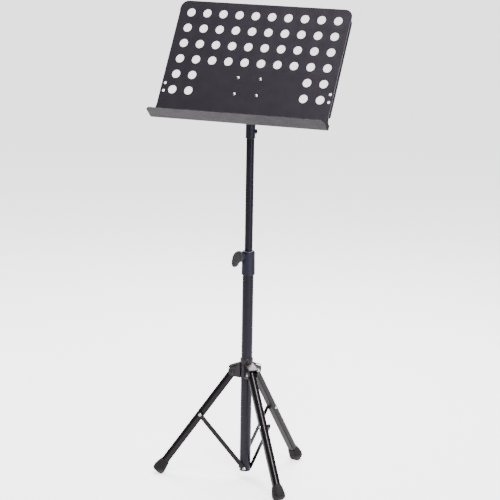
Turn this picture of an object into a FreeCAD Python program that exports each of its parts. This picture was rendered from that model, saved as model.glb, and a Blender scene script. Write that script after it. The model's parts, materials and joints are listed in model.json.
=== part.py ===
import FreeCAD, Part
import math
import os

# A folding music stand: a perforated sheet-metal desk on a two-piece telescopic mast,
# carried by a tripod whose hub slides on the mast and whose legs are tied by braces.
# Millimetres. +Z up, the desk faces -Y, +X to its right. Everything is worked out with the mast
# on the Z axis; main() then moves it all so that the origin is on the floor at the middle of the
# stand's footprint.

# ---------------------------------------------------------------- driving dimensions
# Desk
desk_width = 490.0
desk_height = 340.0
desk_thickness = 1.0
desk_corner_radius = 22.0
desk_lean_deg = 30.4
side_flange_depth = 10.5
side_flange_bend_radius = 1.5
side_flange_bottom = 36.0
side_flange_top_gap = 30.0
side_flange_corner = 7.0
ledge_depth = 48.0
ledge_overhang = 6.0
ledge_angle_deg = 79.0
ledge_corner_radius = 14.0
ledge_bend_radius = 2.0
flare_start = 14.0
flare_end = 30.0
flare_bow_out = 1.5
flare_bow_rise = 7.2

# Perforation
hole_radius = 11.6
hole_pitch_x = 46.6
hole_pitch_z = 44.7
hole_side_margin = 35.0
hole_top_margin = 33.9
hole_bottom_margin = 75.0
short_row_columns = 2
accessory_hole_radius = 3.9
accessory_hole_inset = 10.6
accessory_hole_heights = (78.1, 100.0)

# Tilt joint behind the desk
rivet_spacing_x = 62.8
rivet_spacing_z = 46.9
rivet_centre_height = 104.9
rivet_shank_radius = 2.2
rivet_head_radius = 4.3
rivet_head_height = 1.9
rivet_tail_radius = 3.3
rivet_tail_height = 1.3
bracket_thickness = 2.5
bracket_margin = 10.0
bracket_corner_radius = 8.0
ear_thickness = 2.5
ear_end_radius = 13.0
ear_root_half_height = 24.0
ear_wrap_deg = 100.0
tilt_pivot_back = 31.8
tilt_pivot_height = 1042.0
tilt_bolt_radius = 3.0
tilt_head_radius = 6.5
tilt_head_height = 3.6
tilt_nut_radius = 5.8
tilt_nut_height = 6.0
tilt_nut_crown_height = 1.8
tilt_nut_crown_radius = 5.0
tilt_bolt_overrun = 1.5
spring_washer_thickness = 1.4
spring_washer_flare = 1.2
knuckle_half_thickness = 7.0
friction_washer_space = 1.0
friction_washer_radius = 11.0

# Desk socket on the upper tube
socket_wall = 2.0
socket_bottom = 920.0
socket_grip = 55.0
socket_lip_height = 3.0
socket_lip_proud = 0.4
socket_lip_rounding = 0.9
socket_top_rounding = 2.0
socket_neck_drop = 22.0
socket_screw_rise = 18.0
socket_screw_azimuth_deg = 20.0
socket_screw_radius = 3.0
socket_screw_head_radius = 6.6
socket_screw_rim_height = 1.8
socket_screw_dome_height = 2.2
socket_screw_recess_radius = 2.0
socket_screw_recess_depth = 2.4
socket_boss_radius = 6.3
socket_boss_proud = 0.8
socket_washer_thickness = 1.0
socket_washer_radius = 6.3

# Upper tube and its sliding bush
upper_tube_radius = 10.5
upper_tube_wall = 1.2
upper_tube_bottom = 350.0
bush_length = 35.0
bush_axial_play = 0.1
bush_groove_width = 1.6
bush_groove_depth = 1.0
plug_flange_height = 4.0
plug_depth = 22.0
plug_rounding = 1.0
plug_flange_gap = 0.5
retaining_ring_height = 1.4
retaining_ring_gap = 0.9

# Lower tube
guide_space = 2.7
lower_tube_wall = 1.5
lower_tube_bottom = 22.4
lower_tube_top = 600.0
end_plug_bottom = 19.4
end_plug_depth = 26.0
end_plug_corner = 2.0

# Clamp collar at the top of the lower tube
collar_bottom = 556.0
collar_height = 64.0
collar_bottom_wall = 3.2
collar_top_wall = 2.2
collar_top_rounding = 4.0
collar_bottom_rounding = 1.6
liner_length = 32.0
liner_flange_height = 2.0
clamp_azimuth_deg = 244.0
clamp_rise = 50.5
clamp_boss_radius = 8.6
clamp_boss_proud = 6.8
clamp_boss_rounding = 1.2
clamp_screw_radius = 4.0
clamp_screw_chamfer = 0.6
clamp_insert_radius = 6.2
clamp_insert_length = 6.4
clamp_pad_radius = 3.8
clamp_pad_thickness = 2.0
clamp_pad_gap = 0.3
clamp_pad_end_play = 0.05
knob_gap = 3.5
knob_thickness = 9.5
knob_hub_radius = 7.5
knob_hub_back = 1.5
knob_hub_front = 1.0
knob_hub_rounding = 0.8
knob_edge_rounding = 2.8
knob_screw_engagement = 7.0
knob_outline = (
    (8.5, 13.5), (-2.0, 16.0), (-14.0, 11.5), (-24.0, 1.5), (-29.0, -12.5), (-29.0, -25.0),
    (-22.5, -31.0), (-14.0, -28.0), (-7.0, -20.5), (-0.5, -14.5), (8.5, -11.5), (12.5, 1.5))
collar_fixing_rise = 18.0
collar_fixing_azimuth_deg = 90.0
collar_fixing_screw_radius = 2.0
collar_fixing_head_radius = 3.6
collar_fixing_head_height = 1.8
collar_fixing_recess = 1.0

# Tripod geometry, measured in the upright plane through each leg
leg_count = 3
first_leg_azimuth_deg = 196.5
leg_lean_deg = 35.29
foot_circle_radius = 242.75
hub_pivot_along = 357.5
brace_rivet_along = 210.0
brace_foot_height = 28.2

# Leg tube
leg_half_width = 10.25
leg_depth = 20.7
leg_wall = 1.5
leg_inner_corner = 3.0
leg_bottom_along = 16.0
leg_heel_radius = 15.5
leg_stop_gap = 0.1

# Foot caps
cap_top_along = 45.0
cap_flare_along = 20.0
cap_bottom_along = 8.4
cap_wall_top = 1.6
cap_wall_bottom = 5.8
cap_edge_rounding = 5.0
cap_rim_rounding = 0.7

# Braces
brace_width = 11.6
brace_thickness = 2.6
brace_edge_rounding = 0.5
brace_tube_gap = 0.5
brace_rivet_radius = 2.5
brace_rivet_head_radius = 4.5
brace_rivet_head_height = 2.2
brace_rivet_dimple_radius = 1.8
brace_rivet_dimple_depth = 3.4
brace_spacer_radius = 4.6
brace_rivet_depth_in_plug = 6.0

# Hub
hub_drop = 13.8
hub_height = 52.0
hub_core_height = 34.0
hub_core_wall = 3.35
hub_boss_wall = 1.95
hub_boss_rounding = 1.6
hub_roof_inner_rise = 39.4
hub_roof_outer_rise = 28.4
hub_roof_thickness = 2.6
hub_roof_rounding = 2.0
hub_core_rounding = 1.5
hub_cheek_thickness = 2.7
hub_cheek_radius = 11.0
hub_slot_gap = 3.5
hub_notch_height = 2.4
hub_notch_start_gap = 6.0
hub_arm_root_depth = 2.7
hub_liner_rise = 1.0
hub_liner_length = 26.0
hub_liner_wall = 1.05
hub_pivot_bolt_radius = 3.0
hub_pivot_head_radius = 5.0
hub_pivot_head_height = 2.6
hub_pivot_nut_radius = 5.0
hub_pivot_nut_height = 3.4
hub_pivot_cap_radius = 4.5
hub_pivot_cap_height = 2.2
hub_screw_azimuth_deg = 298.0
hub_screw_rise = 43.5
hub_screw_radius = 2.5
hub_screw_head_radius = 3.3
hub_screw_head_height = 1.9
hub_screw_slot_width = 0.9
hub_screw_slot_depth = 0.95

# Clearances
running_clearance = 0.05
hub_slide_clearance = 0.45
free_clearance = 0.3
leg_side_clearance = 0.65
loose_pivot_clearance = 0.75

# ---------------------------------------------------------------- worked-out values
X = FreeCAD.Vector(1, 0, 0)
Y = FreeCAD.Vector(0, 1, 0)
Z = FreeCAD.Vector(0, 0, 1)
lean = math.radians(leg_lean_deg)
desk_lean = math.radians(desk_lean_deg)
mast_axis_point = FreeCAD.Vector(0, 0, 0)
lower_tube_bore = upper_tube_radius + guide_space
lower_tube_radius = lower_tube_bore + lower_tube_wall
plug_flange_radius = lower_tube_bore - plug_flange_gap
retaining_ring_radius = lower_tube_bore - retaining_ring_gap
socket_radius = upper_tube_radius + socket_wall
socket_lip_radius = socket_radius + socket_lip_proud
socket_boss_reach = socket_radius + socket_boss_proud
upper_tube_top = socket_bottom + socket_grip
bracket_half_x = rivet_spacing_x / 2 + bracket_margin
bracket_half_z = rivet_spacing_z / 2 + bracket_margin
ledge_outer_radius = ledge_bend_radius + desk_thickness
ear_inner = knuckle_half_thickness + friction_washer_space
ear_outer = ear_inner + ear_thickness
brace_inner_face = lower_tube_radius + brace_tube_gap
brace_outer_face = brace_inner_face + brace_thickness
cheek_inner = leg_half_width + leg_side_clearance
cheek_outer = cheek_inner + hub_cheek_thickness
collar_bottom_radius = lower_tube_radius + collar_bottom_wall
collar_top_radius = lower_tube_radius + collar_top_wall
clamp_boss_reach = lower_tube_radius + clamp_boss_proud
clamp_height = collar_bottom + clamp_rise
knob_start = clamp_boss_reach + knob_gap
brace_foot = (0.0, brace_foot_height)

# How far a cutting shape runs past the surface it cuts, one longer than anything in the stand,
# and the difference below which two lengths count as equal.
past = 1.0
big = 2000.0
tolerance = 0.01


def on_leg(along):
    """Radius and height of a point on a leg's axis, at a distance along it from the floor."""
    return (foot_circle_radius - along * math.sin(lean), along * math.cos(lean))


hub_pivot = on_leg(hub_pivot_along)
hub_bore = lower_tube_radius + hub_slide_clearance
hub_liner_radius = hub_bore + hub_liner_wall
hub_boss_radius = hub_bore + hub_boss_wall
hub_core_radius = hub_bore + hub_core_wall
hub_arm_root = hub_core_radius - hub_arm_root_depth
hub_slot_start = hub_core_radius + hub_slot_gap
hub_arm_reach = hub_pivot[0] + hub_cheek_radius
hub_bottom = hub_pivot[1] - hub_drop
hub_core_top = hub_bottom + hub_core_height
hub_boss_top = hub_bottom + hub_height
hub_roof_inner_height = hub_bottom + hub_roof_inner_rise
hub_roof_outer_height = hub_bottom + hub_roof_outer_rise
hub_screw_height = hub_bottom + hub_screw_rise
brace_rivet = on_leg(brace_rivet_along)
hub_liner_bottom = hub_bottom + hub_liner_rise
hub_liner_top = hub_liner_bottom + hub_liner_length
brace_angle = math.atan2(brace_rivet[0] - brace_foot[0], brace_rivet[1] - brace_foot[1])
brace_length = math.hypot(brace_rivet[0] - brace_foot[0], brace_rivet[1] - brace_foot[1])


# ---------------------------------------------------------------- helpers
def vec(x, y, z=0.0):
    return FreeCAD.Vector(x, y, z)


def frame(origin, x_axis, z_axis):
    """Placement that carries local axes to the given origin and directions."""
    y_axis = z_axis.cross(x_axis)
    matrix = FreeCAD.Matrix(
        x_axis.x, y_axis.x, z_axis.x, origin.x,
        x_axis.y, y_axis.y, z_axis.y, origin.y,
        x_axis.z, y_axis.z, z_axis.z, origin.z,
        0, 0, 0, 1)
    return FreeCAD.Placement(matrix)


def placed(shape, placement):
    copy = shape.copy()
    copy.Placement = placement.multiply(copy.Placement)
    return copy


def polar(azimuth_deg, radius, height=0.0):
    angle = math.radians(azimuth_deg)
    return vec(radius * math.cos(angle), radius * math.sin(angle), height)


def outward(azimuth_deg, height):
    """Frame on the mast axis whose +Z points outward at an azimuth and whose +X is level."""
    direction = polar(azimuth_deg, 1.0)
    return frame(vec(0, 0, height), Z.cross(direction), direction)


def rod(radius, start, end):
    return Part.makeCylinder(radius, end - start, vec(0, 0, start), Z)


def sleeve(outer, inner, start, end):
    return rod(outer, start, end).cut(rod(inner, start, end))


def block(x0, x1, y0, y1, z0, z1):
    return Part.makeBox(x1 - x0, y1 - y0, z1 - z0, vec(x0, y0, z0))


def hexagon(radius, start, end):
    """Hexagonal prism whose flats stand at the given radius."""
    corner = radius / math.cos(math.pi / 6)
    points = [polar(60.0 * i, corner, start) for i in range(7)]
    return Part.Face(Part.makePolygon(points)).extrude(vec(0, 0, end - start))


def dome(radius, height, start):
    """Spherical cap on a flat base, standing on the plane z = start."""
    sphere_radius = (radius ** 2 + height ** 2) / (2 * height)
    ball = Part.makeSphere(sphere_radius, vec(0, 0, start + height - sphere_radius))
    return ball.common(rod(radius, start, start + height))


def outline(steps, to_point):
    """Closed wire from steps: ('go', p) draws a line, ('by', m, p) an arc through m to p."""
    edges = []
    here = steps[0][-1]
    for step in steps[1:]:
        there = step[-1]
        if step[0] == "go":
            edges.append(Part.LineSegment(to_point(*here), to_point(*there)).toShape())
        else:
            edges.append(Part.Arc(to_point(*here), to_point(*step[1]), to_point(*there)).toShape())
        here = there
    if math.dist(here, steps[0][-1]) > tolerance:
        edges.append(Part.LineSegment(to_point(*here), to_point(*steps[0][-1])).toShape())
    return Part.Wire(edges)


def round_point(centre, radius, angle_deg):
    angle = math.radians(angle_deg)
    return (centre[0] + radius * math.cos(angle), centre[1] + radius * math.sin(angle))


def fillet_where(shape, radius, wanted):
    edges = [edge for edge in shape.Edges if wanted(edge)]
    return shape.makeFillet(radius, edges)


def fuse_all(shapes):
    result = shapes[0].multiFuse(shapes[1:])
    return result.removeSplitter()


def solid_of(shape):
    """The single solid of a boolean result."""
    solids = shape.Solids
    if len(solids) != 1:
        raise ValueError("expected one solid, got %d" % len(solids))
    return solids[0]


# ---------------------------------------------------------------- frames of the assembly
def desk_frame():
    """Local +X across the desk, +Y behind it, +Z up its face; origin at its bottom bend."""
    back = vec(0, math.cos(desk_lean), -math.sin(desk_lean))
    up = vec(0, math.sin(desk_lean), math.cos(desk_lean))
    pivot = vec(0, 0, tilt_pivot_height)
    origin = pivot - back * tilt_pivot_back - up * rivet_centre_height
    return frame(origin, X, up)


def leg_azimuth(index):
    return first_leg_azimuth_deg + index * 360.0 / leg_count


def radial_plane(index, point, tilt):
    """Frame in a leg's upright plane: +Z rises leaning by tilt from vertical, +X outward."""
    out = polar(leg_azimuth(index), 1.0)
    x_axis = out * math.cos(tilt) + Z * math.sin(tilt)
    z_axis = Z * math.cos(tilt) - out * math.sin(tilt)
    return frame(out * point[0] + Z * point[1], x_axis, z_axis)


def leg_frame(index):
    return radial_plane(index, (foot_circle_radius, 0.0), lean)


def brace_frame(index):
    return radial_plane(index, brace_foot, -brace_angle)


def across(height, x=0.0):
    """In a leg or brace frame: local +Z of a crosswise shape points along the frame's +Y."""
    return frame(vec(x, 0, height), X, Y)


# ---------------------------------------------------------------- desk
def desk_panel_plate():
    half = desk_width / 2
    wide = half + ledge_overhang
    bend = half - side_flange_bend_radius - desk_thickness
    low = ledge_outer_radius
    flange_top = desk_height - side_flange_top_gap
    corner = (half - desk_corner_radius, desk_height - desk_corner_radius)
    right = [
        ("go", (wide, low)),
        ("go", (wide, flare_start)),
        ("by", (half + flare_bow_out, flare_start + flare_bow_rise), (half, flare_end)),
        ("go", (half, side_flange_bottom)),
        ("go", (bend, side_flange_bottom)),
        ("go", (bend, flange_top)),
        ("go", (half, flange_top)),
        ("go", (half, corner[1])),
        ("by", round_point(corner, desk_corner_radius, 45), (corner[0], desk_height)),
    ]
    steps = list(right)
    mirrored = [(-step[-1][0], step[-1][1]) for step in right]
    steps.append(("go", mirrored[-1]))
    for i in range(len(right) - 1, 0, -1):
        if right[i][0] == "by":
            middle = right[i][1]
            steps.append(("by", (-middle[0], middle[1]), mirrored[i - 1]))
        else:
            steps.append(("go", mirrored[i - 1]))
    wire = outline(steps, lambda x, z: vec(x, 0, z))
    return Part.Face(wire).extrude(vec(0, desk_thickness, 0))


def desk_side_flange(side):
    half = desk_width / 2
    outer = side_flange_bend_radius + desk_thickness
    centre = (half - outer, outer)
    steps = [
        ("go", (half - outer, 0.0)),
        ("by", round_point(centre, outer, -45), (half, outer)),
        ("go", (half, side_flange_depth)),
        ("go", (half - desk_thickness, side_flange_depth)),
        ("go", (half - desk_thickness, outer)),
        ("by", round_point(centre, side_flange_bend_radius, -45), (half - outer, desk_thickness)),
    ]
    wire = outline(steps, lambda x, y: vec(side * x, y, side_flange_bottom))
    height = desk_height - side_flange_top_gap - side_flange_bottom
    flange = Part.Face(wire).extrude(vec(0, 0, height))

    def free_corner(edge):
        box = edge.BoundBox
        across_sheet = box.XLength > desk_thickness - tolerance and box.ZLength < tolerance
        return across_sheet and box.YMin > side_flange_depth - tolerance

    return fillet_where(flange, side_flange_corner, free_corner)


def ledge_turn():
    """Angle that the sheet turns through at the bottom bend."""
    return 180.0 - ledge_angle_deg


def bend_strip(half_width, inner, outer, top, reach):
    """Sheet strip that comes down the desk's back, turns the bottom bend and follows the ledge."""
    centre = (-ledge_bend_radius, ledge_outer_radius)
    turn = ledge_turn()
    along = (math.cos(math.radians(-turn - 90)), math.sin(math.radians(-turn - 90)))
    inner_end = round_point(centre, inner, -turn)
    outer_end = round_point(centre, outer, -turn)
    steps = [
        ("go", (centre[0] + inner, top)),
        ("go", (centre[0] + inner, centre[1])),
        ("by", round_point(centre, inner, -turn / 2), inner_end),
        ("go", (inner_end[0] + along[0] * reach, inner_end[1] + along[1] * reach)),
        ("go", (outer_end[0] + along[0] * reach, outer_end[1] + along[1] * reach)),
        ("go", outer_end),
        ("by", round_point(centre, outer, -turn / 2), (centre[0] + outer, centre[1])),
        ("go", (centre[0] + outer, top)),
    ]
    wire = outline(steps, lambda y, z: vec(-half_width, y, z))
    return Part.Face(wire).extrude(vec(2 * half_width, 0, 0))


def desk_ledge():
    wide = desk_width / 2 + ledge_overhang
    reach = ledge_depth - ledge_outer_radius
    strip = bend_strip(wide, ledge_bend_radius, ledge_outer_radius, ledge_outer_radius + past, reach)
    turn = math.radians(ledge_turn())
    forward = vec(0, -math.sin(turn), -math.cos(turn))
    inner = round_point((-ledge_bend_radius, ledge_outer_radius), ledge_bend_radius, -ledge_turn())
    flat = frame(vec(0, inner[0], inner[1]), X, X.cross(forward))
    corner = (wide - ledge_corner_radius, reach - ledge_corner_radius)
    trimmed = strip
    for side in (1, -1):
        steps = [
            ("go", (wide, corner[1])),
            ("by", round_point(corner, ledge_corner_radius, 45), (corner[0], reach)),
            ("go", (corner[0], reach + past)),
            ("go", (wide + past, reach + past)),
            ("go", (wide + past, corner[1])),
        ]
        wire = outline(steps, lambda x, s: vec(side * x, s, -desk_thickness - past))
        cutter = Part.Face(wire).extrude(vec(0, 0, 2 * (desk_thickness + past)))
        trimmed = trimmed.cut(placed(cutter, flat))
    return trimmed


def through_desk(x, z, radius):
    return Part.makeCylinder(radius, 6 * desk_thickness, vec(x, -2 * desk_thickness, z), Y)


def perforation_centres():
    """Rows that would meet the bracket keep only the columns nearest the sides."""
    columns = int((desk_width - 2 * hole_side_margin) / hole_pitch_x) + 1
    rows = int((desk_height - hole_top_margin - hole_bottom_margin) / hole_pitch_z) + 1
    bracket_top = rivet_centre_height + bracket_half_z
    centres = []
    for row in range(rows):
        z = desk_height - hole_top_margin - row * hole_pitch_z
        for column in range(columns):
            from_side = min(column, columns - 1 - column)
            if z - hole_radius > bracket_top or from_side < short_row_columns:
                centres.append(((column - (columns - 1) / 2) * hole_pitch_x, z))
    return centres


def accessory_centres():
    x = desk_width / 2 - accessory_hole_inset
    return [(side * x, z) for side in (-1, 1) for z in accessory_hole_heights]


def rivet_centres():
    return [(sx * rivet_spacing_x / 2, rivet_centre_height + sz * rivet_spacing_z / 2)
            for sx in (-1, 1) for sz in (-1, 1)]


def desk_panel():
    sheet = fuse_all([desk_panel_plate(), desk_ledge(), desk_side_flange(1), desk_side_flange(-1)])
    holes = [through_desk(x, z, hole_radius) for x, z in perforation_centres()]
    holes += [through_desk(x, z, accessory_hole_radius) for x, z in accessory_centres()]
    holes += [through_desk(x, z, rivet_shank_radius) for x, z in rivet_centres()]
    return solid_of(sheet.cut(Part.makeCompound(holes)))


def desk_bracket():
    """Plate behind the desk with two ears for the tilt bolt."""
    front = desk_thickness
    back = desk_thickness + bracket_thickness
    low = rivet_centre_height - bracket_half_z
    plate = block(-bracket_half_x, bracket_half_x, front, back, low, rivet_centre_height + bracket_half_z)
    plate = fillet_where(plate, bracket_corner_radius,
                         lambda e: e.BoundBox.YLength > bracket_thickness - tolerance)
    pieces = [plate]
    for side in (1, -1):
        centre = (tilt_pivot_back, rivet_centre_height)
        steps = [
            ("go", (front, rivet_centre_height - ear_root_half_height)),
            ("go", (back, rivet_centre_height - ear_root_half_height)),
            ("go", round_point(centre, ear_end_radius, -ear_wrap_deg)),
            ("by", round_point(centre, ear_end_radius, 0), round_point(centre, ear_end_radius, ear_wrap_deg)),
            ("go", (back, rivet_centre_height + ear_root_half_height)),
            ("go", (front, rivet_centre_height + ear_root_half_height)),
        ]
        start = ear_inner if side > 0 else -ear_outer
        wire = outline(steps, lambda y, z: vec(start, y, z))
        pieces.append(Part.Face(wire).extrude(vec(ear_thickness, 0, 0)))
    bracket = fuse_all(pieces)
    holes = [through_desk(x, z, rivet_shank_radius) for x, z in rivet_centres()]
    bolt_hole = Part.makeCylinder(tilt_bolt_radius, 4 * ear_outer,
                                  vec(-2 * ear_outer, tilt_pivot_back, rivet_centre_height), X)
    return solid_of(bracket.cut(Part.makeCompound(holes + [bolt_hole])))


def desk_rivets():
    rivets = []
    tail = desk_thickness + bracket_thickness
    for x, z in rivet_centres():
        facing = frame(vec(x, 0, z), X, Y * -1)
        rivet = fuse_all([rod(rivet_shank_radius, -tail, 0), dome(rivet_head_radius, rivet_head_height, 0),
                          rod(rivet_tail_radius, -tail - rivet_tail_height, -tail)])
        rivets.append(placed(rivet, facing))
    return Part.makeCompound(rivets)


# ---------------------------------------------------------------- tilt joint
def tilt_axis(shape):
    """Carry a shape built along +Z to the tilt axis, +Z along +X."""
    return placed(shape, frame(vec(0, 0, tilt_pivot_height), Y, X))


def tilt_bolt():
    tail = ear_outer + spring_washer_thickness + tilt_nut_height + tilt_bolt_overrun
    bolt = fuse_all([rod(tilt_bolt_radius, -tail, ear_outer),
                     dome(tilt_head_radius, tilt_head_height, ear_outer)])
    return tilt_axis(bolt)


def tilt_spring_washer():
    outer = -ear_outer - spring_washer_thickness
    washer = Part.makeCone(tilt_nut_radius, tilt_nut_radius + spring_washer_flare, spring_washer_thickness,
                           vec(0, 0, outer), Z)
    return tilt_axis(washer.cut(rod(tilt_bolt_radius, outer, -ear_outer)))


def tilt_lock_nut():
    """Hexagon nut with a round crown that holds its locking ring."""
    inner = -ear_outer - spring_washer_thickness
    outer = inner - tilt_nut_height
    nut = hexagon(tilt_nut_radius, outer + tilt_nut_crown_height, inner)
    crown = rod(tilt_nut_crown_radius, outer, outer + tilt_nut_crown_height)
    return tilt_axis(fuse_all([nut, crown]).cut(rod(tilt_bolt_radius, outer, inner)))


def friction_washers():
    inner = knuckle_half_thickness + running_clearance
    washers = []
    for side in (1, -1):
        start = inner if side > 0 else -ear_inner
        end = ear_inner if side > 0 else -inner
        washers.append(tilt_axis(sleeve(friction_washer_radius, tilt_bolt_radius, start, end)))
    return Part.makeCompound(washers)


def tilt_socket():
    """Sleeve over the upper tube, with a flat knuckle on top that the bracket's ears hold."""
    neck_top = tilt_pivot_height - socket_neck_drop
    body = rod(socket_radius, socket_bottom, neck_top)
    body = fillet_where(body, socket_top_rounding, lambda e: e.BoundBox.ZMin > neck_top - tolerance)
    lip = rod(socket_lip_radius, socket_bottom, socket_bottom + socket_lip_height)
    lip = fillet_where(lip, socket_lip_rounding, lambda e: e.BoundBox.ZLength < tolerance)
    knuckle = tilt_axis(rod(socket_radius, -knuckle_half_thickness, knuckle_half_thickness))
    web = block(-knuckle_half_thickness, knuckle_half_thickness, -socket_radius, socket_radius,
                neck_top - socket_radius, tilt_pivot_height)
    web = web.common(rod(socket_radius, neck_top - socket_radius, tilt_pivot_height))
    boss = at_socket_screw(rod(socket_boss_radius, 0, socket_boss_reach))
    body = fuse_all([body, lip, web, knuckle, boss])
    body = body.cut(rod(upper_tube_radius, socket_bottom - past, upper_tube_top))
    screw_hole = at_socket_screw(rod(socket_screw_radius, 0, big))
    bolt_hole = tilt_axis(rod(tilt_bolt_radius + running_clearance, -socket_radius, socket_radius))
    return solid_of(body.cut(screw_hole).cut(bolt_hole))


def at_socket_screw(shape):
    return placed(shape, outward(socket_screw_azimuth_deg, socket_bottom + socket_screw_rise))


def socket_screw():
    """Round-headed screw with a hexagonal recess."""
    head = socket_boss_reach + socket_washer_thickness
    rim = head + socket_screw_rim_height
    top = rim + socket_screw_dome_height
    screw = fuse_all([rod(socket_screw_radius, upper_tube_radius, head),
                      rod(socket_screw_head_radius, head, rim),
                      dome(socket_screw_head_radius, socket_screw_dome_height, rim)])
    recess = hexagon(socket_screw_recess_radius, top - socket_screw_recess_depth, top + past)
    return at_socket_screw(solid_of(screw.cut(recess)))


def socket_washer():
    washer = sleeve(socket_washer_radius, socket_screw_radius, socket_boss_reach,
                    socket_boss_reach + socket_washer_thickness)
    return at_socket_screw(washer)


# ---------------------------------------------------------------- upper mast
def upper_tube():
    return sleeve(upper_tube_radius, upper_tube_radius - upper_tube_wall, upper_tube_bottom, upper_tube_top)


def upper_tube_plug():
    stem = rod(upper_tube_radius - upper_tube_wall, upper_tube_bottom, upper_tube_bottom + plug_depth)
    flange = rod(plug_flange_radius, upper_tube_bottom - plug_flange_height, upper_tube_bottom)
    flange = fillet_where(flange, plug_rounding, lambda e: e.BoundBox.ZMax < upper_tube_bottom - past)
    return fuse_all([stem, flange])


def guide_bush():
    start = upper_tube_bottom + bush_axial_play
    bush = sleeve(lower_tube_bore - running_clearance, upper_tube_radius + running_clearance,
                  start, start + bush_length)
    grooves = [sleeve(lower_tube_radius, lower_tube_bore - bush_groove_depth, z, z + bush_groove_width)
               for z in (start + bush_length / 3, start + 2 * bush_length / 3)]
    return solid_of(bush.cut(Part.makeCompound(grooves)))


def retaining_ring():
    start = upper_tube_bottom + 2 * bush_axial_play + bush_length
    return sleeve(retaining_ring_radius, upper_tube_radius, start, start + retaining_ring_height)


# ---------------------------------------------------------------- lower mast and clamp collar
def brace_screw_axis(index):
    """Azimuth at which a brace is riveted to the tube: the leg's side, a quarter turn on."""
    return leg_azimuth(index) + 90.0


def at_brace_foot(shape, index):
    return placed(shape, outward(brace_screw_axis(index), brace_foot_height))


def brace_rivet_holes():
    start = lower_tube_bore - brace_rivet_depth_in_plug
    hole = rod(brace_rivet_radius, start, big)
    return Part.makeCompound([at_brace_foot(hole, index) for index in range(leg_count)])


def collar_fixing(start, end, radius):
    rise = collar_bottom + collar_fixing_rise
    return placed(rod(radius, start, end), outward(collar_fixing_azimuth_deg, rise))


def lower_tube():
    tube = sleeve(lower_tube_radius, lower_tube_bore, lower_tube_bottom, lower_tube_top)
    tube = tube.cut(brace_rivet_holes())
    return solid_of(tube.cut(collar_fixing(lower_tube_bore - past, big, collar_fixing_screw_radius)))


def tube_end_plug():
    stem = rod(lower_tube_bore, lower_tube_bottom, lower_tube_bottom + end_plug_depth)
    cap = rod(lower_tube_radius, end_plug_bottom, lower_tube_bottom)
    cap = fillet_where(cap, end_plug_corner, lambda e: e.BoundBox.ZMax < end_plug_bottom + tolerance)
    return solid_of(fuse_all([stem, cap]).cut(brace_rivet_holes()))


def tubular_rivet_head(base, radius, height):
    head = dome(radius, height, base)
    dimple = rod(brace_rivet_dimple_radius, base + height - brace_rivet_dimple_depth, base + 2 * height)
    return head.cut(dimple)


def brace_foot_rivets():
    rivets = []
    start = lower_tube_bore - brace_rivet_depth_in_plug
    head = brace_outer_face + running_clearance
    for index in range(leg_count):
        rivet = fuse_all([rod(brace_rivet_radius, start, head),
                          tubular_rivet_head(head, brace_rivet_head_radius, brace_rivet_head_height)])
        rivets.append(at_brace_foot(rivet, index))
    return Part.makeCompound(rivets)


def tube_liner():
    """Plastic sleeve in the mouth of the lower tube that guides the upper tube."""
    bore = upper_tube_radius + running_clearance
    stem = sleeve(lower_tube_bore, bore, lower_tube_top - liner_length, lower_tube_top)
    flange = sleeve(lower_tube_radius, bore, lower_tube_top, lower_tube_top + liner_flange_height)
    return solid_of(fuse_all([stem, flange]))


def at_clamp(shape):
    return placed(shape, outward(clamp_azimuth_deg, clamp_height))


def clamp_collar():
    """Tapered sleeve on the lower tube that holds the clamp screw over the upper tube."""
    top = collar_bottom + collar_height
    body = Part.makeCone(collar_bottom_radius, collar_top_radius, collar_height, vec(0, 0, collar_bottom), Z)
    body = fillet_where(body, collar_top_rounding, lambda e: e.BoundBox.ZMin > top - tolerance)
    body = fillet_where(body, collar_bottom_rounding, lambda e: e.BoundBox.ZMax < collar_bottom + tolerance)
    boss = rod(clamp_boss_radius, 0, clamp_boss_reach)
    boss = fillet_where(boss, clamp_boss_rounding, lambda e: e.BoundBox.ZMin > clamp_boss_reach - tolerance)
    collar = fuse_all([body, at_clamp(boss)])
    seat = lower_tube_top + liner_flange_height
    collar = collar.cut(rod(lower_tube_radius, collar_bottom - past, seat))
    collar = collar.cut(rod(upper_tube_radius + free_clearance, collar_bottom, top + past))
    insert_start = clamp_boss_reach - clamp_insert_length
    collar = collar.cut(at_clamp(rod(clamp_screw_radius + free_clearance, 0, clamp_boss_reach + past)))
    collar = collar.cut(at_clamp(rod(clamp_insert_radius, insert_start, clamp_boss_reach + past)))
    recess = collar_fixing_seat()
    collar = collar.cut(collar_fixing(recess, big, collar_fixing_head_radius))
    return solid_of(collar.cut(collar_fixing(0, big, collar_fixing_screw_radius)))


def collar_fixing_seat():
    taper = (collar_bottom_radius - collar_top_radius) / collar_height
    return collar_bottom_radius - taper * collar_fixing_rise - collar_fixing_recess


def collar_fixing_screw():
    seat = collar_fixing_seat()
    shank = rod(collar_fixing_screw_radius, lower_tube_bore, seat)
    head = dome(collar_fixing_head_radius, collar_fixing_head_height, seat)
    rise = collar_bottom + collar_fixing_rise
    return placed(fuse_all([shank, head]), outward(collar_fixing_azimuth_deg, rise))


def clamp_insert():
    start = clamp_boss_reach - clamp_insert_length
    bore = clamp_screw_radius + running_clearance
    return at_clamp(sleeve(clamp_insert_radius, bore, start, clamp_boss_reach))


def clamp_pad():
    start = upper_tube_radius + clamp_pad_gap
    return at_clamp(rod(clamp_pad_radius, start, start + clamp_pad_thickness))


def clamp_screw_tip():
    return upper_tube_radius + clamp_pad_gap + clamp_pad_thickness + clamp_pad_end_play


def clamp_screw():
    tip = clamp_screw_tip()
    screw = rod(clamp_screw_radius, tip, knob_start + knob_screw_engagement)
    tip_edges = [edge for edge in screw.Edges if edge.BoundBox.ZMax < tip + tolerance]
    return at_clamp(screw.makeChamfer(clamp_screw_chamfer, tip_edges))


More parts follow.
